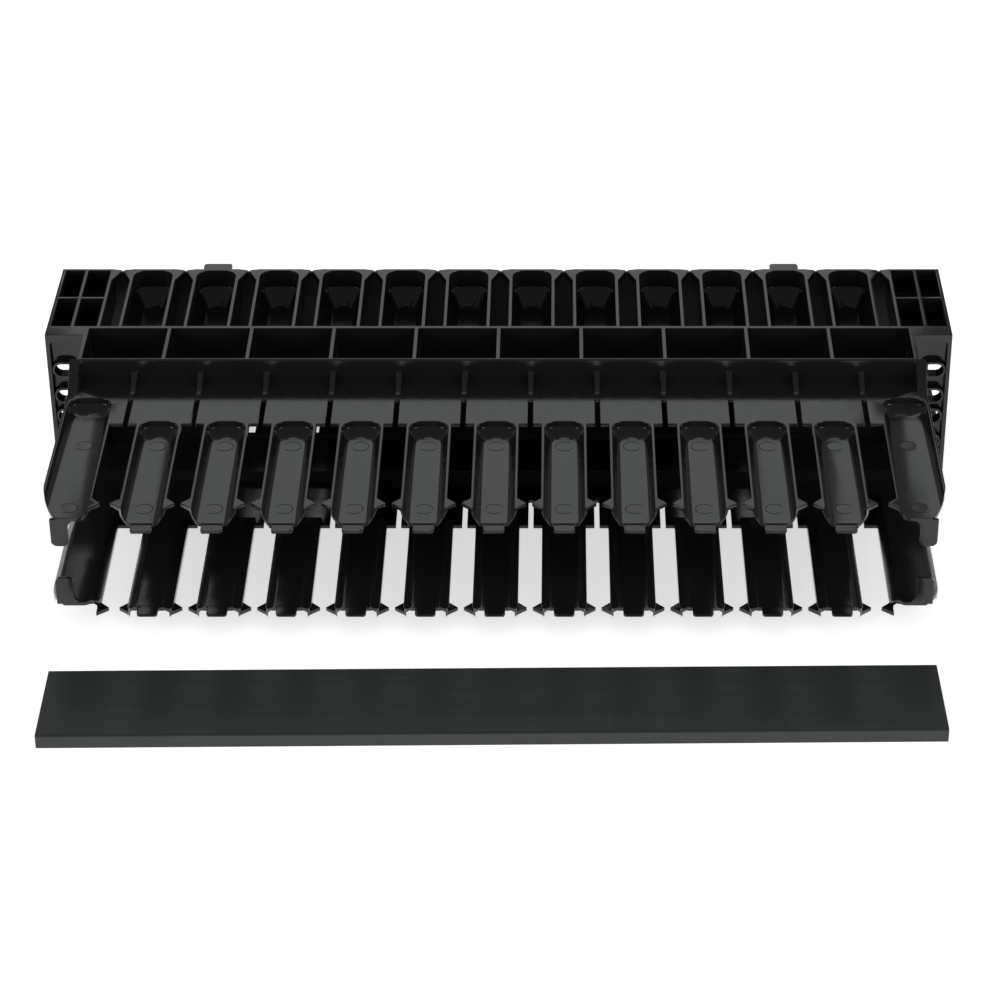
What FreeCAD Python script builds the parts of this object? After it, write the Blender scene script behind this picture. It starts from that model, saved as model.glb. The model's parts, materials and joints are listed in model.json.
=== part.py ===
"""A two-unit horizontal cable manager for a 19 inch rack: one moulded base and its two covers.

Axes: X along the rack's width, Y into the rack's depth, Z up. Millimetres.
Origin: centre of the mounting plane, where the ears' outer faces meet the rack rails.
Fingers reach out on both sides of that plane in an upper and a lower row.
"""
import FreeCAD, Part

import math
import os
import re
import sys

import Sketcher

SIZES = {
    # The frame that mounts to the rack
    "panel_width": (482.6, "overall width of a 19 inch panel"),
    "panel_height": (88.1, "overall height of two rack units, less the gap to a neighbour"),
    "slot_spacing": (465.1, "distance between the mounting slots of the two ears"),
    "unit_slot": (44.45, "distance between the outer pair of slots on one ear"),
    "inner_slot": (12.7, "distance between the inner pair of slots on one ear"),
    "slot_width": (10.3, "length of a mounting slot"),
    "slot_height": (7.0, "height of a mounting slot"),
    "ring_wall": (1.4, "raised rim round a mounting slot"),
    "ear_depth": (7.5, "thickness of an ear at its rim"),
    "ear_recess": (4.5, "depth of the recess in an ear's face"),
    "ear_rim": (2.2, "width of the rim round that recess"),
    "ring_step": (0.4, "how far a slot's rim lies below the ear's face"),
    "wall": (1.8, "thin upright walls"),
    "thick": (2.5, "thick upright walls along the width"),
    "plate": (2.0, "floors, ledges and the back plate"),
    # The cable channel between the upper and the lower half
    "channel_half": (24.0, "half the clear height of the cable channel"),
    "window_inner": (77.0, "pass-through window, side nearer the middle"),
    "window_outer": (147.0, "pass-through window, side nearer the ear"),
    "window_half": (22.0, "pass-through window, half its height"),
    "window_round": (4.0, "corner radius of a pass-through window"),
    # The beam of open cells along the mounting plane
    "beam_front": (27.5, "how far the beam stands out from the mounting plane"),
    "beam_half": (221.0, "half the width of the beam"),
    "beam_cells": (10, "cells in the beam"),
    "cell_pitch": (43.9, "distance from one cell of the beam to the next"),
    "rib": (2.0, "ribs between those cells"),
    # The short fingers behind the mounting plane
    "pitch": (34.7, "distance from one finger to the next, in every row"),
    "inner_depth": (75.0, "reach of the short fingers"),
    "inner_fingers": (12, "short fingers in a row"),
    "inner_gap": (9.8, "clear gap between two short fingers"),
    "dish_level": (34.0, "height where a short finger's dish turns upright"),
    "dish_half": (6.0, "half the width of that dish's flat floor"),
    "dish_end": (64.0, "place where that floor ends"),
    "corner_floor": (30.0, "height of the corner cells' floor"),
    "corner_wall": (228.0, "place of the wall between two corner cells"),
    "corner_split": (41.8, "place of the wall across the corner cells"),
    "spur_thick": (3.5, "height of the spurs that close a gap"),
    "spur_base": (60.0, "place where a short finger's spur starts"),
    "spur_tip": (74.0, "place of the spur's point"),
    "spur_opening": (1.4, "clear slit between two spurs"),
    "catch_finger": (4.5, "pitches from the middle to the catch on a short finger"),
    "catch_half": (7.8, "half the width of that catch"),
    "catch_reach": (6.4, "how far that catch stands out"),
    "catch_thick": (2.0, "thickness of that catch"),
    "catch_lip": (1.4, "height of the lip under the catch"),
    "lip_depth": (2.4, "thickness of that lip"),
    # The ledge that carries the long fingers
    "rim_level": (32.0, "height of the ledge and of the long fingers' rims"),
    "ledge_reach": (72.0, "how far the ledge stands out from the mounting plane"),
    "ledge_half": (199.0, "half the width of the ledge's front part"),
    "relief_width": (2.6, "width of the relief slots in the ledge"),
    "relief_start": (47.0, "place where a relief slot starts"),
    "gusset_rise": (5.0, "height of the gussets against the beam"),
    "gusset_reach": (44.0, "place where a gusset runs out on the ledge"),
    # The long fingers in front of the mounting plane
    "front_fingers": (11, "long fingers in a row, without the two end ones"),
    "floor_level": (26.0, "height of the long fingers' floor"),
    "rim_half": (11.5, "half the width of a long finger at its rims"),
    "rim_wall": (1.5, "thickness of a long finger's rims"),
    "root_half": (7.2, "half the width of a long finger under its floor"),
    "floor_half": (5.8, "half the width of a long finger's flat floor"),
    "trough_start": (69.5, "place where the trough starts at the ledge"),
    "trough_floor": (78.0, "place where the trough reaches its floor"),
    "trough_corner": (7.0, "radius of the trough's corners at the ledge"),
    "floor_corner": (3.5, "radius of the trough's corners at its floor"),
    "dish_round": (4.2, "radius where the trough's walls meet its floor"),
    "tip_start": (150.0, "place where a long finger's sides start to turn in"),
    "tip_end": (158.5, "reach of a long finger without its tongue"),
    "tongue_half": (5.2, "half the width of a finger's tongue"),
    "tongue_end": (164.6, "reach of a long finger with its tongue"),
    "tongue_round": (1.8, "corner radius of a tongue"),
    "tongue_top": (25.4, "height of a tongue's outer face"),
    "tongue_thick": (1.6, "thickness of a tongue"),
    "barb_start": (143.0, "place where a long finger's barb starts"),
    "barb_tip": (149.0, "place of the barb's point"),
    "barb_end": (154.0, "place where the barb ends"),
    "barb_reach": (4.5, "how far a barb stands out of the rim"),
    # The wide fingers at the two ends
    "end_outer": (224.5, "outer side of an end finger at its rim"),
    "end_inner": (199.0, "inner side of an end finger at its rim"),
    "end_root_outer": (219.2, "outer side of an end finger under its floor"),
    "end_root_inner": (202.2, "inner side of an end finger under its floor"),
    "end_floor_outer": (216.0, "outer side of an end finger's flat floor"),
    "end_floor_inner": (203.8, "inner side of an end finger's flat floor"),
    "end_start": (46.0, "place where an end finger's trough starts"),
    "end_floor_start": (54.0, "place where that trough reaches its floor"),
    "end_tip": (153.5, "reach of an end finger"),
    "end_turn_outer": (131.0, "place where its outer side starts to turn in"),
    "end_turn_inner": (143.0, "place where its inner side starts to turn in"),
    "end_nose_outer": (216.3, "outer end of its straight nose"),
    "end_nose_inner": (205.8, "inner end of its straight nose"),
    "guard_depth": (16.6, "how far the guard reaches into the channel"),
    "guard_outer": (219.6, "outer side of the guard"),
    "guard_inner": (210.9, "inner side of the guard at its edge"),
    "guard_root": (206.8, "inner side of the guard at the finger"),
    "guard_flare": (6.0, "height over which the guard widens to the finger"),
    "guard_round": (3.0, "radius of the guard's free corners"),
    "web_reach": (42.0, "place where the side web runs out on the ledge"),
    # The cover
    "cover_length": (438.0, "length of the cover"),
    "cover_depth": (7.5, "depth of the cover's flanges"),
    "cover_wall": (1.8, "thickness of the cover"),
    "cover_play": (0.1, "play between the cover's flange and a tongue"),
    "cover_bead": (0.9, "how far the snap bead stands in"),
    "cover_round": (1.2, "radius of the cover's long edges"),
    "cover_front": (246.5, "how far in front of the rails the cover lies"),
    "cover_turn": (0.7, "turn of the cover as it lies, in degrees"),
    # The cover behind the short fingers
    "rear_width": (480.0, "width of the rear cover"),
    "rear_wall": (2.0, "thickness of the rear cover"),
    "rear_play": (0.3, "play between the rear cover and what holds it"),
    "bow_centre": (135.0, "how far in front of the rails the centre of its bow lies"),
}

WORD = re.compile(r"[a-z][a-z_]*")


def formula(text):
    """Puts the sheet's name before each size, so that a formula is written in plain words."""
    return WORD.sub(lambda word: "Sizes." + word.group(0) if word.group(0) in SIZES else word.group(0), text)


doc = FreeCAD.newDocument("CableManager")
sheet = doc.addObject("Spreadsheet::Sheet", "Sizes")
for row, (alias, (value, meaning)) in enumerate(SIZES.items(), start=1):
    sheet.set("A%d" % row, meaning)
    sheet.set("B%d" % row, str(value))
    sheet.setAlias("B%d" % row, alias)
doc.recompute()


def number(text):
    """Gives the present value of a formula."""
    return float(sheet.evalExpression(formula(text)))


def plane(body, role):
    """Finds one of a body's own origin planes."""
    return [item for item in body.Origin.OriginFeatures if item.Role == role][0]


def corner_points(outline):
    """Turns corners into points, with two points and an arc where a square corner is rounded."""
    points = []
    count = len(outline)
    for index, corner in enumerate(outline):
        x, y = corner[0], corner[1]
        if len(corner) == 2:
            points.append((x, y, None))
            continue
        if not isinstance(corner[2], str):
            points.append((x, y, corner[2]))
            continue
        here = (number(x), number(y))
        sides = []
        for other in (outline[index - 1], outline[(index + 1) % count]):
            step = (number(other[0]) - here[0], number(other[1]) - here[1])
            if abs(step[0]) > abs(step[1]):
                sides.append(("+" if step[0] > 0 else "-", None))
            else:
                sides.append((None, "+" if step[1] > 0 else "-"))
        sign_x = sides[0][0] or sides[1][0]
        centre_x = "(%s) %s (%s)" % (x, sign_x, corner[2])
        for place, side in enumerate(sides):
            px = "(%s) %s (%s)" % (x, side[0], corner[2]) if side[0] else x
            py = "(%s) %s (%s)" % (y, side[1], corner[2]) if side[1] else y
            points.append((px, py, ("x", centre_x, None) if place == 0 else None))
    return points


def arc_between(start, end, axis, value, turn):
    """Gives the arc from one point to another whose centre has one known coordinate."""
    (x1, y1), (x2, y2) = start, end
    if axis == "x":
        other = ((y1 ** 2 - y2 ** 2) + (x1 - value) ** 2 - (x2 - value) ** 2) / (2 * (y1 - y2))
        centre = (value, other)
    else:
        other = ((x1 ** 2 - x2 ** 2) + (y1 - value) ** 2 - (y2 - value) ** 2) / (2 * (x1 - x2))
        centre = (other, value)
    first = math.atan2(y1 - centre[1], x1 - centre[0])
    last = math.atan2(y2 - centre[1], x2 - centre[0])
    sweep = (last - first) % (2 * math.pi)
    forward = sweep < math.pi if turn is None else turn == "left"
    circle = Part.Circle(FreeCAD.Vector(centre[0], centre[1], 0), FreeCAD.Vector(0, 0, 1),
                         math.hypot(x1 - centre[0], y1 - centre[1]))
    if forward:
        return Part.ArcOfCircle(circle, first, first + sweep), 1, 2
    return Part.ArcOfCircle(circle, last, last + (2 * math.pi - sweep)), 2, 1


def draw(sketch, outline):
    """Draws one closed outline. Each point, and each arc's centre, is held by the sheet's sizes."""
    points = corner_points(outline)
    count = len(points)
    pieces = []
    for index, (x, y, bend) in enumerate(points):
        following = points[(index + 1) % count]
        start = (number(x), number(y))
        end = (number(following[0]), number(following[1]))
        if bend is None:
            line = Part.LineSegment(FreeCAD.Vector(*start, 0), FreeCAD.Vector(*end, 0))
            pieces.append((sketch.addGeometry(line, False), 1, 2))
        else:
            arc, at_start, at_end = arc_between(start, end, bend[0], number(bend[1]), bend[2])
            pieces.append((sketch.addGeometry(arc, False), at_start, at_end))
    held = []
    for index, (x, y, bend) in enumerate(points):
        geometry, at_start, at_end = pieces[index]
        next_geometry, next_start, _ = pieces[(index + 1) % count]
        sketch.addConstraint(Sketcher.Constraint("Coincident", geometry, at_end, next_geometry, next_start))
        held.append(("DistanceX", geometry, at_start, x))
        held.append(("DistanceY", geometry, at_start, y))
        if bend is not None:
            held.append(("DistanceX" if bend[0] == "x" else "DistanceY", geometry, 3, bend[1]))
    for kind, geometry, point, text in held:
        name = "size%d" % sketch.ConstraintCount
        place = sketch.addConstraint(Sketcher.Constraint(kind, -1, 1, geometry, point, number(text)))
        sketch.renameConstraint(place, name)
        sketch.setExpression("Constraints." + name, formula(text))


def sketch_at(body, name, role, level, outlines):
    """Makes a sketch on an origin plane, lifted to a level along that plane's axis."""
    sketch = body.newObject("Sketcher::SketchObject", name)
    sketch.AttachmentSupport = [(plane(body, role), "")]
    sketch.MapMode = "FlatFace"
    lift = "-(%s)" % level if role == "XZ_Plane" else level
    sketch.setExpression("AttachmentOffset.Base.z", formula(lift))
    for outline in outlines:
        draw(sketch, outline)
    return sketch


def extrude(body, kind, name, role, low, high, outlines):
    """Adds or cuts a prism that fills the outlines between two levels of the plane's axis."""
    level = high if role == "XZ_Plane" else low
    sketch = sketch_at(body, name + "_outline", role, level, outlines)
    feature = body.newObject("PartDesign::" + kind, name)
    feature.Profile = sketch
    feature.Reversed = kind == "Pocket"
    feature.setExpression("Length", formula("(%s) - (%s)" % (high, low)))
    doc.recompute()
    return feature


def loft(body, kind, name, sections):
    """Adds or cuts a shape that runs straight from each outline to the next one above it."""
    sketches = [sketch_at(body, "%s_level%d" % (name, place), "XY_Plane", level, [outline])
                for place, (level, outline) in enumerate(sections)]
    feature = body.newObject("PartDesign::" + kind, name)
    feature.Profile = sketches[0]
    feature.Sections = sketches[1:]
    feature.Ruled = True
    doc.recompute()
    return feature


def along_width(body, name, originals, count, spacing):
    """Repeats features along X."""
    pattern = body.newObject("PartDesign::LinearPattern", name)
    pattern.Originals = originals
    axis = [item for item in body.Origin.OriginFeatures if item.Role == "X_Axis"][0]
    pattern.Direction = (axis, [""])
    pattern.Mode = "Spacing"
    pattern.setExpression("Offset", formula(spacing))
    pattern.setExpression("Occurrences", formula(count))
    body.Tip = pattern
    doc.recompute()
    return pattern


def mirror(body, name, role):
    """Adds the mirror image of the whole body on the other side of a plane."""
    copy = body.newObject("PartDesign::Mirrored", name)
    copy.TransformMode = "Whole shape"
    copy.MirrorPlane = (plane(body, role), [""])
    body.Tip = copy
    doc.recompute()
    return copy


def box(x_low, x_high, y_low, y_high, radius=None):
    """Gives the outline of a rectangle, with rounded corners if a radius is named."""
    corners = [(x_low, y_low), (x_high, y_low), (x_high, y_high), (x_low, y_high)]
    return [corner + (radius,) for corner in corners] if radius else corners


def oblong(x, y, half_length, half_height):
    """Gives the outline of a slot with round ends, its length along the first axis."""
    left = "(%s) - (%s) + (%s)" % (x, half_length, half_height)
    right = "(%s) + (%s) - (%s)" % (x, half_length, half_height)
    top = "(%s) + (%s)" % (y, half_height)
    bottom = "(%s) - (%s)" % (y, half_height)
    return [(left, bottom), (right, bottom, ("x", right, "left")),
            (right, top), (left, top, ("x", left, "left"))]


HALF_WIDTH = "panel_width/2"
TOP = "panel_height/2"
BACK = "(ear_depth + thick)"
GAP_SIDE = "(-inner_fingers/2*pitch - inner_gap/2)"
LIP_FACE = "(inner_depth + rear_wall + rear_play*2)"


def make_frame(body):
    """The beam, the blocks behind it, the ear and the plate that joins the two halves."""
    extrude(body, "Pad", "beam", "XY_Plane", "channel_half", TOP,
            [box("-beam_half", "pitch/2", "-beam_front", BACK)])
    extrude(body, "Pad", "finger_block", "XY_Plane", "channel_half", TOP,
            [box(GAP_SIDE + " - wall", "pitch/2", "0", "inner_depth")])
    extrude(body, "Pad", "corner_block", "XY_Plane", "corner_floor - plate", TOP,
            [box("-" + HALF_WIDTH, GAP_SIDE, "0", "inner_depth")])
    extrude(body, "Pad", "ear", "XY_Plane", "0", TOP,
            [box("-" + HALF_WIDTH, GAP_SIDE, "0", "ear_depth")])
    extrude(body, "Pad", "back_plate", "XY_Plane", "0", "channel_half + plate/2",
            [box(GAP_SIDE + " - wall", "pitch/2", "ear_depth", BACK)])
    extrude(body, "Pocket", "window", "XZ_Plane", "ear_depth - 1", BACK + " + 1",
            [box("-window_outer", "-window_inner", "-window_half", "window_half", "window_round")])


def make_slots(body):
    """The recess in the ear's face and the rimmed slots that take the rack screws."""
    extrude(body, "Pocket", "recess", "XZ_Plane", "-1", "ear_recess",
            [box("-" + HALF_WIDTH + " + ear_rim", "-end_outer", "-" + TOP + " + ear_rim*2",
                 TOP + " - ear_rim*2", "ear_rim")])
    x = "-slot_spacing/2"
    levels = ("inner_slot/2", "unit_slot/2")
    extrude(body, "Pad", "slot_rims", "XZ_Plane", "ring_step", "ear_recess + plate/2",
            [oblong(x, level, "slot_width/2 + ring_wall", "slot_height/2 + ring_wall") for level in levels])
    extrude(body, "Pocket", "slots", "XZ_Plane", "-1", BACK,
            [oblong(x, level, "slot_width/2", "slot_height/2") for level in levels])


def make_cells(body):
    """The open cells of the corner and of the beam."""
    outer = ("-" + HALF_WIDTH + " + wall", "-corner_wall - wall/2")
    inner = ("-corner_wall + wall/2", GAP_SIDE + " - wall")
    near = (BACK, "corner_split - wall/2")
    far = ("corner_split + wall/2", "inner_depth - wall")
    extrude(body, "Pocket", "corner_cells", "XY_Plane", "corner_floor", TOP + " + 1",
            [box(*across, *along) for across in (outer, inner) for along in (near, far)])
    first = "-(beam_cells - 1)/2*cell_pitch"
    half = "(cell_pitch - rib)/2"
    cell = extrude(body, "Pocket", "beam_cell", "XY_Plane", "channel_half + plate", TOP + " + 1",
                   [box(first + " - " + half, first + " + " + half, "-beam_front + thick", "ear_depth")])
    along_width(body, "beam_cell_row", [cell], "beam_cells/2", "cell_pitch")


def make_short_fingers(body):
    """The row of short fingers: round-bottomed troughs with a gap between each pair."""
    first = "-(inner_fingers - 1)/2*pitch"
    half = "(pitch - inner_gap)/2 - wall"
    low = "channel_half + plate"
    left = first + " - (" + half + ")"
    right = first + " + (" + half + ")"
    place = "-catch_finger*pitch"
    extrude(body, "Pad", "catch", "XY_Plane", TOP + " - catch_thick", TOP,
            [[(place + " - catch_half", "inner_depth - wall/2"),
              (place + " + catch_half", "inner_depth - wall/2"),
              (place + " + catch_half", "inner_depth + catch_reach", "catch_thick"),
              (place + " - catch_half", "inner_depth + catch_reach", "catch_thick")]])
    lip = place + " - catch_half + catch_thick"
    extrude(body, "Pad", "catch_lip", "XY_Plane", TOP + " - catch_thick - catch_lip", TOP + " - catch_thick/2",
            [box(lip, place + " + catch_half - catch_thick", LIP_FACE, LIP_FACE + " + lip_depth")])
    near = "(" + BACK + ")"
    floor = [(first + " - dish_half", near), (first + " + dish_half", near),
             (first + " + dish_half", "dish_end", "floor_corner"),
             (first + " - dish_half", "dish_end", "floor_corner")]
    brim = [(left, near), (right, near), (right, "inner_depth - wall", "trough_corner"),
            (left, "inner_depth - wall", "trough_corner")]
    dish = loft(body, "SubtractiveLoft", "short_dish", [(low, floor), ("dish_level", brim)])
    well = extrude(body, "Pocket", "short_well", "XY_Plane", "dish_level", TOP + " + 1",
                   [brim])
    along_width(body, "short_row", [dish, well], "inner_fingers/2", "pitch")
    gap = "-inner_fingers/2*pitch"
    side = "inner_gap/2"
    cut = extrude(body, "Pocket", "gap", "XY_Plane", "channel_half - 1", TOP + " + 1",
                  [box(gap + " - " + side, gap + " + " + side, BACK, "inner_depth + 1")])
    spurs = []
    for sign in ("-", "+"):
        wall_side = gap + " " + sign + " (inner_gap/2 + wall/2)"
        slit_side = gap + " " + sign + " spur_opening/2"
        spurs.append([(wall_side, "spur_base"), (slit_side, "spur_tip - plate"),
                      (slit_side, "spur_tip"), (wall_side, "inner_depth")])
    spur = extrude(body, "Pad", "spur", "XY_Plane", TOP + " - spur_thick", TOP, spurs)
    along_width(body, "gap_row", [cut, spur], "inner_fingers/2 + 1", "pitch")


def make_ledge(body):
    """The ledge in front of the beam, its gussets and the relief slots between the fingers."""
    extrude(body, "Pad", "ledge", "XY_Plane", "rim_level - plate", "rim_level",
            [[("-ledge_half", "-ledge_reach"), ("pitch/2", "-ledge_reach"), ("pitch/2", "-beam_front + thick/2"),
              ("-end_outer", "-beam_front + thick/2"), ("-end_outer", "-end_start"),
              ("-ledge_half", "-end_start")]])
    extrude(body, "Pad", "side_web", "YZ_Plane", "-end_outer", "-beam_half + rim_wall",
            [[("-web_reach", "rim_level - plate/2"), ("-beam_front + thick/2", "rim_level - plate/2"),
              ("-beam_front + thick/2", TOP), ("-beam_front", TOP), ("-web_reach", "rim_level")]])
    first = "-front_fingers/2*pitch"
    gusset = extrude(body, "Pad", "gusset", "YZ_Plane", first + " - relief_width/2", first + " + relief_width/2",
                     [[("-gusset_reach", "rim_level - plate/2"), ("-beam_front + thick/2", "rim_level - plate/2"),
                       ("-beam_front + thick/2", "rim_level + gusset_rise"),
                       ("-beam_front", "rim_level + gusset_rise", ("x", "-gusset_reach", None)),
                       ("-gusset_reach", "rim_level")]])
    relief = extrude(body, "Pocket", "relief", "XY_Plane", "rim_level - plate - 1", "rim_level + 1",
                     [box(first + " - relief_width/2", first + " + relief_width/2",
                          "-ledge_reach - 1", "-relief_start")])
    along_width(body, "gusset_row", [gusset, relief], "(front_fingers + 1)/2", "pitch")


def dish_sections(walls, floor, end, level, top):
    """Gives the outlines of a dish: a flat floor that rounds up into nearly upright walls, open at its end.

    walls and floor each name the left side, the right side, the start and the corner radius there.
    """
    sections = []
    for turn in (0, 36, 72, None):
        share = 1 if turn is None else math.sin(math.radians(turn))
        rise = top if turn is None else "%s + dish_round*%.4f" % (level, 1 - math.cos(math.radians(turn)))
        left, right, start, corner = ["(%s) + ((%s) - (%s))*%.4f" % (low, high, low, share)
                                      for low, high in zip(floor, walls)]
        sections.append((rise, [(left, "-(%s)" % end), (right, "-(%s)" % end),
                                (right, "-(%s)" % start, corner), (left, "-(%s)" % start, corner)]))
    return sections


def shell_sections(left, right, root_left, root_right, end, start, root_start):
    """Gives the outlines of a finger's outside: upright sides with a slope to its narrower underside."""
    under = "floor_level - plate"
    return [(under, box(root_left, root_right, "-(%s)" % end, "-(%s)" % root_start)),
            (under + " + dish_round", box(left, right, "-(%s)" % end, "-(%s)" % start)),
            ("rim_level", box(left, right, "-(%s)" % end, "-(%s)" % start))]


def make_long_fingers(body):
    """One row of long fingers: dished, with barbed sides, a round end and a tongue for the cover."""
    x = "-(front_fingers - 1)/2*pitch"
    shell = loft(body, "AdditiveLoft", "finger",
                 shell_sections(x + " - rim_half", x + " + rim_half", x + " - root_half", x + " + root_half",
                                "tip_end", "trough_start - thick", "trough_floor - plate"))
    inner = "(rim_half - rim_wall)"
    dish = loft(body, "SubtractiveLoft", "dish",
                dish_sections((x + " - " + inner, x + " + " + inner, "trough_start", "trough_corner"),
                              (x + " - floor_half", x + " + floor_half", "trough_floor", "floor_corner"),
                              "tongue_end", "floor_level", "rim_level"))
    waste = []
    barbs = []
    for sign in ("-", "+"):
        edge = x + " " + sign + " rim_half"
        point = edge + " " + sign + " barb_reach"
        root = x + " " + sign + " tongue_half"
        waste.append([(edge, "-tip_start", ("y", "-tip_start", None)), (root, "-tip_end"),
                      (root, "-tongue_end"), (point, "-tongue_end"), (point, "-tip_start")])
        back = x + " " + sign + " (rim_half - rim_wall)"
        barbs.append([(back, "-barb_start"), (point, "-barb_tip"), (back, "-barb_end")])
    nose = extrude(body, "Pocket", "nose", "XY_Plane", "floor_level - plate - 1", "rim_level + 1", waste)
    barb = extrude(body, "Pad", "barb", "XY_Plane", "rim_level - plate", "rim_level", barbs)
    tongue = extrude(body, "Pad", "tongue", "XY_Plane", "tongue_top - tongue_thick", "tongue_top",
                     [[(x + " - tongue_half", "-tip_end + plate"),
                       (x + " - tongue_half", "-tongue_end", "tongue_round"),
                       (x + " + tongue_half", "-tongue_end", "tongue_round"),
                       (x + " + tongue_half", "-tip_end + plate")]])
    along_width(body, "finger_row", [shell, dish, nose, barb, tongue], "(front_fingers + 1)/2", "pitch")


def make_end_finger(body):
    """The wide finger at the end, with the guard that keeps cables in the channel."""
    loft(body, "AdditiveLoft", "end_finger",
         shell_sections("-end_outer", "-end_inner", "-end_root_outer", "-end_root_inner",
                        "end_tip", "end_start - plate", "end_floor_start - plate"))
    loft(body, "SubtractiveLoft", "end_dish",
         dish_sections(("-end_outer + rim_wall", "-end_inner - rim_wall", "end_start", "trough_corner"),
                       ("-end_floor_outer", "-end_floor_inner", "end_floor_start", "floor_corner"),
                       "end_tip + 1", "floor_level", "rim_level"))
    waste = [[("-end_outer", "-end_turn_outer", ("y", "-end_turn_outer", None)),
              ("-end_nose_outer", "-end_tip"), ("-end_nose_outer", "-end_tip - 1"),
              ("-end_outer - 1", "-end_tip - 1"), ("-end_outer - 1", "-end_turn_outer")],
             [("-end_inner", "-end_turn_inner", ("y", "-end_turn_inner", None)),
              ("-end_nose_inner", "-end_tip"), ("-end_nose_inner", "-end_tip - 1"),
              ("-end_inner + 1", "-end_tip - 1"), ("-end_inner + 1", "-end_turn_inner")]]
    extrude(body, "Pocket", "end_nose", "XY_Plane", "floor_level - plate - 1", "rim_level + 1", waste)
    low = "floor_level - guard_depth"
    flare = "(floor_level - plate/2 - guard_flare)"
    extrude(body, "Pad", "guard", "XZ_Plane", "-end_tip", "-end_tip + wall",
            [[("-guard_root", "floor_level - plate/2", ("y", flare, None)), ("-guard_inner", flare),
              ("-guard_inner", low, "guard_round"), ("-guard_outer", low, "guard_round"),
              ("-guard_outer", "floor_level - plate/2")]])
    back = "-end_inner - rim_wall"
    extrude(body, "Pad", "end_barb", "XY_Plane", "rim_level - plate", "rim_level",
            [[(back, "-barb_start"), ("-end_inner + barb_reach", "-barb_tip"), (back, "-barb_end")]])


def make_base():
    """The whole moulding: its upper left quarter first, then the mirrored right side and lower half."""
    body = doc.addObject("PartDesign::Body", "manager_base")
    body.Label = "manager_base"
    make_frame(body)
    make_slots(body)
    make_ledge(body)
    make_end_finger(body)
    make_cells(body)
    make_long_fingers(body)
    make_short_fingers(body)
    extrude(body, "Pocket", "centre_cut", "XY_Plane", "-1", TOP + " + 1",
            [box("0", "pitch", "-tongue_end - 1", "inner_depth + 1")])
    mirror(body, "right_side", "YZ_Plane")
    mirror(body, "lower_half", "XY_Plane")
    return body


def make_cover():
    """The clip-on cover: a shallow channel with a bead along the inside of each flange."""
    body = doc.addObject("PartDesign::Body", "front_cover")
    body.Label = "front_cover"
    outer = "(tongue_top + cover_play + cover_wall)"
    inner = "(tongue_top + cover_play)"
    top = "cover_depth"
    under = "(cover_depth - cover_wall)"
    bead = "cover_bead"
    section = [("-" + outer, "0"), ("-" + inner, "0"), ("-" + inner + " + " + bead, bead),
               ("-" + inner, bead + "*2"), ("-" + inner, under), (inner, under), (inner, bead + "*2"),
               (inner + " - " + bead, bead), (inner, "0"), (outer, "0"),
               (outer, top, "cover_round"), ("-" + outer, top, "cover_round")]
    extrude(body, "Pad", "channel", "YZ_Plane", "-cover_length/2", "cover_length/2", [section])
    body.setExpression("Placement.Base.y", formula("-cover_front + " + outer))
    body.setExpression("Placement.Base.z", formula("-" + TOP))
    body.Placement.Rotation = FreeCAD.Rotation(FreeCAD.Vector(0, 0, 1), 1)
    body.setExpression("Placement.Rotation.Angle", formula("cover_turn"))
    doc.recompute()
    return body


def make_rear_cover():
    """The cover behind the short fingers: a bowed plate, held between the catches of the two halves."""
    body = doc.addObject("PartDesign::Body", "rear_cover")
    body.Label = "rear_cover"
    inside = "(inner_depth + rear_play)"
    outside = "(inner_depth + rear_play + rear_wall)"
    edge = "(" + TOP + " - catch_thick - rear_play)"
    bow = ("x", "-bow_centre", None)
    section = [(inside, "-" + edge), (outside, "-" + edge, bow), (outside, edge), (inside, edge, bow)]
    extrude(body, "Pad", "bowed_plate", "YZ_Plane", "-rear_width/2", "rear_width/2", [section])
    return body


def save(bodies):
    """Stops on any failed object or bad shape, and then writes one file for each piece."""
    failed = [item.Name for item in doc.Objects if "Invalid" in item.State or "Error" in item.State]
    if failed:
        sys.exit("failed objects: %s" % ", ".join(failed))
    for body in bodies:
        shape = body.Shape
        if shape.isNull() or not shape.isValid() or len(shape.Solids) != 1:
            sys.exit("bad shape: %s" % body.Label)
    os.makedirs("parts", exist_ok=True)
    for body in bodies:
        body.Shape.exportStep("parts/%s.step" % body.Label)
        size = body.Shape.BoundBox
        print("%s: %.0f mm3, %d faces, X %.2f to %.2f, Y %.2f to %.2f, Z %.2f to %.2f"
              % (body.Label, body.Shape.Volume, len(body.Shape.Faces), size.XMin, size.XMax,
                 size.YMin, size.YMax, size.ZMin, size.ZMax))


pieces = [make_base(), make_cover(), make_rear_cover()]
doc.recompute()
save(pieces)
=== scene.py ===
# %% [markdown]
# # A horizontal cable manager
#
# This is a two-unit cable manager for a 19 inch rack. It is one large moulding of black plastic, with rows of
# fingers on both sides of its ears. One cover clips over the tips of the long fingers, and lies in front here.
# A second one closes the back, between the short fingers.
# The solids come ready made from the CAD model, at their real size. Here they get the small rounds that every
# moulding has, their finish, the marks that the mould leaves, a floor, lamps and a camera.

import json
import math

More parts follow.
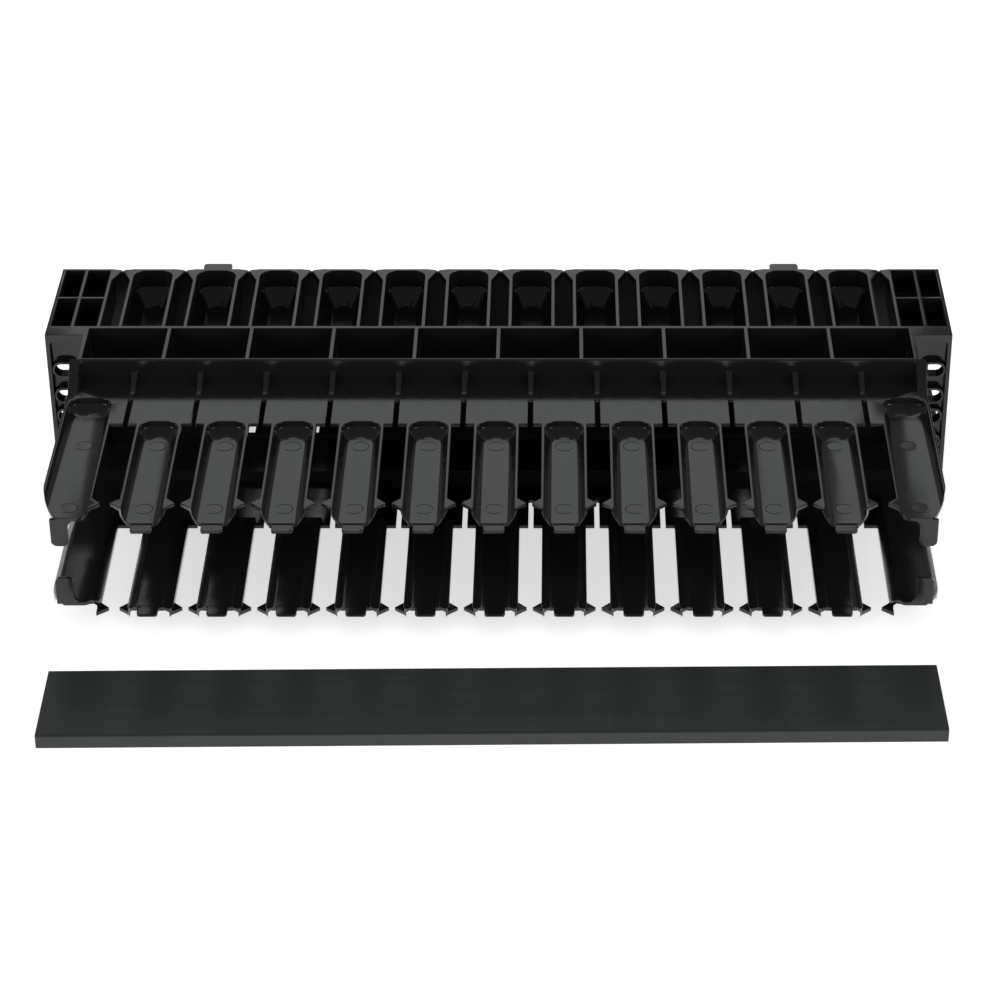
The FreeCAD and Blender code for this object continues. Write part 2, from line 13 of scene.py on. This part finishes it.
import bpy
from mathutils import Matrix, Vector

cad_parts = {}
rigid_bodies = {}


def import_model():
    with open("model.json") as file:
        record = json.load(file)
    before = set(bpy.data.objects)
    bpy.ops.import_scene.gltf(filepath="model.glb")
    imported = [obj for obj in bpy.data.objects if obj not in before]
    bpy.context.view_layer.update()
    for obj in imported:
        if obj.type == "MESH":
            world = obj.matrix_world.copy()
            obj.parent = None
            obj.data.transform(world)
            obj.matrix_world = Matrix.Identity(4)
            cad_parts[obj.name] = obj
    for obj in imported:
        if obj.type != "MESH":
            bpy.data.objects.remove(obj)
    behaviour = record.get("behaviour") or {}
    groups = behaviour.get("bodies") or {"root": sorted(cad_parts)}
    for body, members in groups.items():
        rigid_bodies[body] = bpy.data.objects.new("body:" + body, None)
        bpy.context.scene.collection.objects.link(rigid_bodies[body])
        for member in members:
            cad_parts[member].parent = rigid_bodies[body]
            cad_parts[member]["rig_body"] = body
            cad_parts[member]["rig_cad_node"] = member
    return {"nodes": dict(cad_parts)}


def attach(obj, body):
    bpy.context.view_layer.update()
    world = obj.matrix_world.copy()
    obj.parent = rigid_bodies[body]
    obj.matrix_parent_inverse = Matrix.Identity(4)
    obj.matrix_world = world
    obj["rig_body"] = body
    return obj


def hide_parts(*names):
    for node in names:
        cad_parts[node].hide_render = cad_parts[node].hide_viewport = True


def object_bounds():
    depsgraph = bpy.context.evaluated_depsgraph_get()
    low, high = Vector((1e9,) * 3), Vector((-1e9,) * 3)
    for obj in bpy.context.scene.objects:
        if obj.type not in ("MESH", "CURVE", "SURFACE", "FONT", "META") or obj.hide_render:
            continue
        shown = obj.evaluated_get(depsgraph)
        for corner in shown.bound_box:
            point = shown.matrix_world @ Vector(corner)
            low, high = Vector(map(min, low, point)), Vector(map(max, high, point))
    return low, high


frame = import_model()
solid_low, solid_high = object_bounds()
print("solids:", sorted(frame["nodes"]))

# %% [markdown]
# Blender works in metres, and the sizes of a moulding are easier to read in millimetres. One factor turns the
# one into the other. The object stands on its lowest face, so that is where the floor goes.

# %% Units and the floor's level
MM = 0.001
floor_level = solid_low.z
print("floor at %.2f mm" % (floor_level / MM))

# %% [markdown]
# ## The camera
#
# The photograph was taken from above the front, through a long lens: the far edge of the base looks only a
# little shorter than the near one. Three facts fix such a view: where the camera is, how far it looks down,
# and how long its lens is. A focal length given in pixels becomes one in millimetres through the sensor's width.
# The object's near edge stands 6 pixels further left than its far edge, although its rows are level. So the
# camera stood a little to the right and did not turn: the frame was cut off-centre, which is what a shift does.

# %% Make the camera
PHOTO_WIDTH = 1000
SENSOR_WIDTH = 36
FOCAL_PIXELS = 3150
LOOK_DOWN = math.radians(32)
CAMERA_PLACE = Vector((32, -1466, 856.7)) * MM
CENTRE_PIXEL = 558.8

camera_data = bpy.data.cameras.new("photo_camera")
camera_data.sensor_width = SENSOR_WIDTH
camera_data.lens = FOCAL_PIXELS / PHOTO_WIDTH * SENSOR_WIDTH
camera_data.shift_x = 0.5 - CENTRE_PIXEL / PHOTO_WIDTH
camera = bpy.data.objects.new("photo_camera", camera_data)
camera.location = CAMERA_PLACE
camera.rotation_euler = (math.pi / 2 - LOOK_DOWN, 0, 0)
bpy.context.scene.collection.objects.link(camera)
bpy.context.scene.camera = camera
print("lens %.1f mm" % camera_data.lens)

# %% [markdown]
# ## Helpers for node graphs
#
# A procedural finish is a small graph of nodes. These helpers start a material, add a node with its values, join
# two sockets and set the ends of a Map Range node, which turns one span of values into another. So each recipe
# further on reads as a list of what the finish is made of.

# %% Helpers for node graphs
def new_material(name):
    """Starts a material and gives it with its shader."""
    material = bpy.data.materials.new(name)
    material.use_nodes = True
    return material, material.node_tree.nodes["Principled BSDF"]


def add_node(owner, kind, **values):
    """Adds a node to a material or world. Values that name a socket are set on it, and the others are settings."""
    node = owner.node_tree.nodes.new(kind)
    for key, value in values.items():
        socket = node.inputs.get(key.replace("_", " "))
        if socket is None:
            setattr(node, key, value)
        else:
            socket.default_value = value
    return node


def join(owner, source, target):
    """Links two sockets of a material or world."""
    owner.node_tree.links.new(source, target)


def set_range(node, from_min, from_max, to_min, to_max):
    """Sets the four ends of a Map Range node."""
    for socket, value in (("From Min", from_min), ("From Max", from_max), ("To Min", to_min), ("To Max", to_max)):
        node.inputs[socket].default_value = value


print("helpers ready")

# %% [markdown]
# ## Black moulded plastic
#
# The base is a black, glossy plastic. Its colour is nearly even, with faint clouds where the melt flowed, and its
# gloss changes a little from place to place. A fine grain from the steel of the mould breaks up the reflections.
# Each of these is a noise of its own size, from 40 mm clouds down to a grain of a fraction of a millimetre.
# A few specks of dust lie on it, where small balls in a grid of 5 mm cells happen to touch the surface.
# The covers come out of a slot instead of a closed mould. They are duller, and their gloss runs in long streaks,
# which is the same noise stretched along X. All of it reads Object coordinates, so it stays put on the part.

# %% The finishes of the base and the covers
CLOUDS_PER_METRE = 25.0
PATCHES_PER_METRE = 160.0
PATCH_LOW, PATCH_HIGH = 0.3, 0.7
DUST_CELLS_PER_METRE = 180.0
DUST_EDGE, DUST_CORE = 0.05, 0.02
DUST_STRENGTH = 0.5
DUST_COLOUR = (0.10, 0.10, 0.095, 1)
GRAIN_STRENGTH = 0.35


def moulded_plastic(name, dark, light, gloss_low, gloss_high, grain_per_metre, grain_height, stretch):
    """Makes a black plastic with clouds in its colour, specks of dust, patches in its gloss and a fine grain."""
    material, shader = new_material(name)
    place = add_node(material, "ShaderNodeTexCoord")
    clouds = add_node(material, "ShaderNodeTexNoise", Scale=CLOUDS_PER_METRE, Detail=3.0, Roughness=0.55)
    join(material, place.outputs["Object"], clouds.inputs["Vector"])
    tint = add_node(material, "ShaderNodeMix", data_type="RGBA")
    tint.inputs["A"].default_value = (*dark, 1)
    tint.inputs["B"].default_value = (*light, 1)
    join(material, clouds.outputs["Fac"], tint.inputs["Factor"])
    specks = add_node(material, "ShaderNodeTexVoronoi", Scale=DUST_CELLS_PER_METRE, Randomness=1.0)
    join(material, place.outputs["Object"], specks.inputs["Vector"])
    dust = add_node(material, "ShaderNodeMapRange")
    set_range(dust, DUST_EDGE, DUST_CORE, 0, DUST_STRENGTH)
    join(material, specks.outputs["Distance"], dust.inputs["Value"])
    dusty = add_node(material, "ShaderNodeMix", data_type="RGBA")
    dusty.inputs["B"].default_value = DUST_COLOUR
    join(material, dust.outputs["Result"], dusty.inputs["Factor"])
    join(material, tint.outputs["Result"], dusty.inputs["A"])
    join(material, dusty.outputs["Result"], shader.inputs["Base Color"])
    drawn = add_node(material, "ShaderNodeMapping")
    drawn.inputs["Scale"].default_value = (stretch, 1, 1)
    join(material, place.outputs["Object"], drawn.inputs["Vector"])
    patches = add_node(material, "ShaderNodeTexNoise", Scale=PATCHES_PER_METRE, Detail=4.0, Roughness=0.6)
    join(material, drawn.outputs["Vector"], patches.inputs["Vector"])
    gloss = add_node(material, "ShaderNodeMapRange")
    set_range(gloss, PATCH_LOW, PATCH_HIGH, gloss_low, gloss_high)
    join(material, patches.outputs["Fac"], gloss.inputs["Value"])
    join(material, gloss.outputs["Result"], shader.inputs["Roughness"])
    grain = add_node(material, "ShaderNodeTexNoise", Scale=grain_per_metre, Detail=2.0, Roughness=0.5)
    join(material, place.outputs["Object"], grain.inputs["Vector"])
    bump = add_node(material, "ShaderNodeBump", Strength=GRAIN_STRENGTH, Distance=grain_height)
    join(material, grain.outputs["Fac"], bump.inputs["Height"])
    join(material, bump.outputs["Normal"], shader.inputs["Normal"])
    return material


base_finish = moulded_plastic("black_moulding", (0.0070, 0.0074, 0.0066), (0.0110, 0.0114, 0.0104),
                              0.10, 0.17, 1400.0, 0.006 * MM, 1.0)
cover_finish = moulded_plastic("black_cover", (0.0190, 0.0225, 0.0230), (0.0260, 0.0300, 0.0305),
                               0.32, 0.44, 2200.0, 0.02 * MM, 0.04)
print("finishes:", base_finish.name, cover_finish.name)

# %% [markdown]
# ## The base and the covers
#
# A mould cuts no perfectly sharp edge. Every edge of the real part has a tiny round, and in the photograph each
# one catches a thin bright line. The solids have sharp edges, so a copy of each one gets a narrow bevel.
# The copy's mesh is loose triangles at first, so its doubles are merged. The bevel then takes only the edges
# that turn by more than 42 degrees, and leaves the triangles' other sides alone. Where its rounds meet at a
# crowded corner it can leave slivers without any area, and these are dissolved.
# The troughs' walls turn into their floors in a few small steps, which smooth shading blends. On its own that
# would bend the light on the flat floors too, so the shading follows the large faces, and the small ones blend.

# %% Round the edges of a copy of each solid
MERGE_DISTANCE = 0.002 * MM
EDGE_ROUND = 0.25 * MM
ROUND_ABOVE = math.radians(42)
SMOOTH_BELOW = math.radians(40)
FACE_WEIGHT = 50


def rounded_copy(node, name, finish):
    """Copies a solid, merges it, rounds its edges and lets the copy stand for the solid."""
    piece = frame["nodes"][node].copy()
    piece.data = piece.data.copy()
    piece.name = name
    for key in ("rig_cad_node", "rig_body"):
        if key in piece:
            del piece[key]
    piece.parent = None
    bpy.context.scene.collection.objects.link(piece)
    bpy.ops.object.select_all(action="DESELECT")
    piece.select_set(True)
    bpy.context.view_layer.objects.active = piece
    bpy.ops.object.mode_set(mode="EDIT")
    bpy.ops.mesh.select_all(action="SELECT")
    bpy.ops.mesh.remove_doubles(threshold=MERGE_DISTANCE)
    bpy.ops.object.mode_set(mode="OBJECT")
    bevel = piece.modifiers.new("edge_round", "BEVEL")
    bevel.width = EDGE_ROUND
    bevel.segments = 2
    bevel.limit_method = "ANGLE"
    bevel.angle_limit = ROUND_ABOVE
    bevel.use_clamp_overlap = False
    bpy.ops.object.modifier_apply(modifier=bevel.name)
    bpy.ops.object.mode_set(mode="EDIT")
    bpy.ops.mesh.select_all(action="SELECT")
    bpy.ops.mesh.dissolve_degenerate(threshold=MERGE_DISTANCE)
    bpy.ops.object.mode_set(mode="OBJECT")
    bpy.ops.object.shade_smooth_by_angle(angle=SMOOTH_BELOW)
    flat = piece.modifiers.new("flat_faces", "WEIGHTED_NORMAL")
    flat.mode = "FACE_AREA_WITH_ANGLE"
    flat.weight = FACE_WEIGHT
    flat.keep_sharp = True
    bpy.ops.object.modifier_apply(modifier=flat.name)
    piece.data.materials.clear()
    piece.data.materials.append(finish)
    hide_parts(node)
    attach(piece, "root")
    print(name, len(piece.data.polygons), "faces")


rounded_copy("manager_base", "moulded_base", base_finish)
rounded_copy("front_cover", "clip_cover", cover_finish)
rounded_copy("rear_cover", "rear_plate", cover_finish)

# %% [markdown]
# ## Ejector marks
#
# Round pins push a moulding out of its mould, and each one leaves a faint ring. Every finger has two, one near
# its root and one near its tip. A mark starts as a flat disc that stands a tenth of a millimetre above the floor.
# Its top face is inset and sunk, which leaves a sharp rim that slopes inwards, and the slope draws the ring.
# One mark is modelled for the fingers in the middle and one for the end finger. An array repeats it along the
# row and towards the tip, and a mirror gives the other side and the lower row. Both modifiers work about the
# object's origin, so the mark's place goes into its mesh first.

# %% Make the ejector marks
FINGER_PITCH = 34.7 * MM
FINGER_FLOOR = 26 * MM
MARK_RADIUS = 4.5 * MM
MARK_RIM = 0.1 * MM
MARK_SIDES = 40
RIM_WIDTH = 0.4 * MM
RIM_SINK = 0.8 * MARK_RIM
POINTS_UP = 0.9
MIDDLE_COUNT = 11
MIDDLE_PLACE = (-5 * FINGER_PITCH, -85 * MM)
MIDDLE_TO_TIP = -60 * MM
END_PLACE = (-211 * MM, -84.3 * MM)
END_TO_TIP = -59.8 * MM


def ejector_marks(name, place, to_tip, count, sides):
    """Makes marks on one finger, repeats them along the row and mirrors them on the given axes."""
    bpy.ops.object.select_all(action="DESELECT")
    bpy.ops.mesh.primitive_cylinder_add(vertices=MARK_SIDES, radius=MARK_RADIUS, depth=2 * MARK_RIM,
                                        location=(*place, FINGER_FLOOR))
    marks = bpy.context.object
    marks.name = name
    bpy.ops.object.transform_apply(location=True)
    bpy.ops.object.mode_set(mode="EDIT")
    bpy.ops.mesh.select_mode(type="FACE")
    bpy.ops.mesh.select_all(action="DESELECT")
    bpy.ops.object.mode_set(mode="OBJECT")
    for face in marks.data.polygons:
        face.select = face.normal.z > POINTS_UP
    bpy.ops.object.mode_set(mode="EDIT")
    bpy.ops.mesh.inset(thickness=RIM_WIDTH, depth=-RIM_SINK)
    bpy.ops.object.mode_set(mode="OBJECT")
    for repeats, step in ((count, (FINGER_PITCH, 0, 0)), (2, (0, to_tip, 0))):
        row = marks.modifiers.new("row", "ARRAY")
        row.use_relative_offset = False
        row.use_constant_offset = True
        row.count = repeats
        row.constant_offset_displace = step
        bpy.ops.object.modifier_apply(modifier=row.name)
    other = marks.modifiers.new("other_side", "MIRROR")
    other.use_axis = sides
    bpy.ops.object.modifier_apply(modifier=other.name)
    return marks


middle_marks = ejector_marks("ejector_marks", MIDDLE_PLACE, MIDDLE_TO_TIP, MIDDLE_COUNT, (False, False, True))
end_marks = ejector_marks("end_marks", END_PLACE, END_TO_TIP, 1, (True, False, True))
faces_each = 2 * MARK_SIDES + 2  # the outer side, the slope, the sunk top and the bottom
end_marks.select_set(True)
middle_marks.select_set(True)
bpy.context.view_layer.objects.active = middle_marks
bpy.ops.object.join()
middle_marks.data.materials.append(base_finish)
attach(middle_marks, "root")
print("marks:", len(middle_marks.data.polygons) // faces_each)

# %% [markdown]
# ## The floor
#
# The photograph has a white background with no horizon. A wide white floor gives that. To the camera and in
# reflections it glows a little as well, which lifts it to full white. The faces that look at the camera mirror
# the table in front of them, and get their grey from it.

# %% Make the floor
FLOOR_SIZE = 30
FLOOR_WHITE = 0.86
FLOOR_GLOW = 0.65

bpy.ops.object.select_all(action="DESELECT")
bpy.ops.mesh.primitive_plane_add(size=FLOOR_SIZE, location=(0, 0, floor_level))
floor = bpy.context.object
floor.name = "floor"
floor_finish, floor_shader = new_material("white_floor")
floor_shader.inputs["Base Color"].default_value = (FLOOR_WHITE, FLOOR_WHITE, FLOOR_WHITE, 1)
floor_shader.inputs["Roughness"].default_value = 0.9
floor_shader.inputs["Specular IOR Level"].default_value = 0.1
rays = add_node(floor_finish, "ShaderNodeLightPath")
seen = add_node(floor_finish, "ShaderNodeMath", operation="MAXIMUM")
join(floor_finish, rays.outputs["Is Camera Ray"], seen.inputs[0])
join(floor_finish, rays.outputs["Is Glossy Ray"], seen.inputs[1])
lift = add_node(floor_finish, "ShaderNodeMath", operation="MULTIPLY")
lift.inputs[1].default_value = FLOOR_GLOW
join(floor_finish, seen.outputs["Value"], lift.inputs[0])
floor_shader.inputs["Emission Color"].default_value = (1, 1, 1, 1)
join(floor_finish, lift.outputs["Value"], floor_shader.inputs["Emission Strength"])
floor.data.materials.append(floor_finish)
print("floor made")

# %% [markdown]
# ## Light
#
# Black plastic shows mostly what it mirrors. A soft lamp behind the object, 32 degrees up, lies in the ledge and
# in the floors of the fingers, and makes them grey. It is only just wide enough for them, so the walls beside
# them stay black. Two smaller lamps at the left and the right draw the bright lines along the rounded edges.
# The world is white to the camera and gives a low even light, but reflections see it nearly dark. So the walls
# of the troughs stay black, as they do in a dim studio.
# This departs from the usual rule, by which reflections and glass see the white background too. If they saw it,
# with these same lamps most faces would come out lighter than in the photograph. For a new scene it is still the
# better start to let reflections see the white first, and only then to choose the lamps.

# %% Make the lamps and the world
def soft_lamp(name, place, target, width, height, power, colour=(1, 1, 1)):
    """Makes a rectangular lamp that looks at a point. Places are in metres and power in watts."""
    data = bpy.data.lights.new(name, "AREA")
    data.shape = "RECTANGLE"
    data.size = width
    data.size_y = height
    data.energy = power
    data.color = colour
    lamp = bpy.data.objects.new(name, data)
    lamp.location = place
    lamp.rotation_euler = (Vector(target) - Vector(place)).to_track_quat("-Z", "Y").to_euler()
    bpy.context.scene.collection.objects.link(lamp)


SIDE_POWER = 15
SIDE_SIZE = 0.9
WORLD_LIGHT = 0.42
WORLD_WHITE = 1.0
GLOSSY_DROP = -0.26

middle = (solid_low + solid_high) / 2
soft_lamp("back_lamp", (-0.08, 2.2, 1.35), middle, 1.15, 1.3, 3.7, (0.95, 1.0, 1.0))
soft_lamp("left_lamp", (-1.8, -0.95, 0.75), middle, SIDE_SIZE, SIDE_SIZE, SIDE_POWER)
soft_lamp("right_lamp", (1.8, -0.95, 0.75), middle, SIDE_SIZE, SIDE_SIZE, SIDE_POWER)
world = bpy.data.worlds.new("white_world")
bpy.context.scene.world = world
world.use_nodes = True
background = world.node_tree.nodes["Background"]
background.inputs["Color"].default_value = (1, 1, 1, 1)
world_rays = add_node(world, "ShaderNodeLightPath")
world_level = add_node(world, "ShaderNodeMapRange")
set_range(world_level, 0, 1, WORLD_LIGHT, WORLD_WHITE)
join(world, world_rays.outputs["Is Camera Ray"], world_level.inputs["Value"])
darker = add_node(world, "ShaderNodeMath", operation="MULTIPLY_ADD")
darker.inputs[1].default_value = GLOSSY_DROP
join(world, world_rays.outputs["Is Glossy Ray"], darker.inputs[0])
join(world, world_level.outputs["Result"], darker.inputs[2])
join(world, darker.outputs["Value"], background.inputs["Strength"])
bpy.context.scene.view_settings.view_transform = "Standard"
print("lamps made")
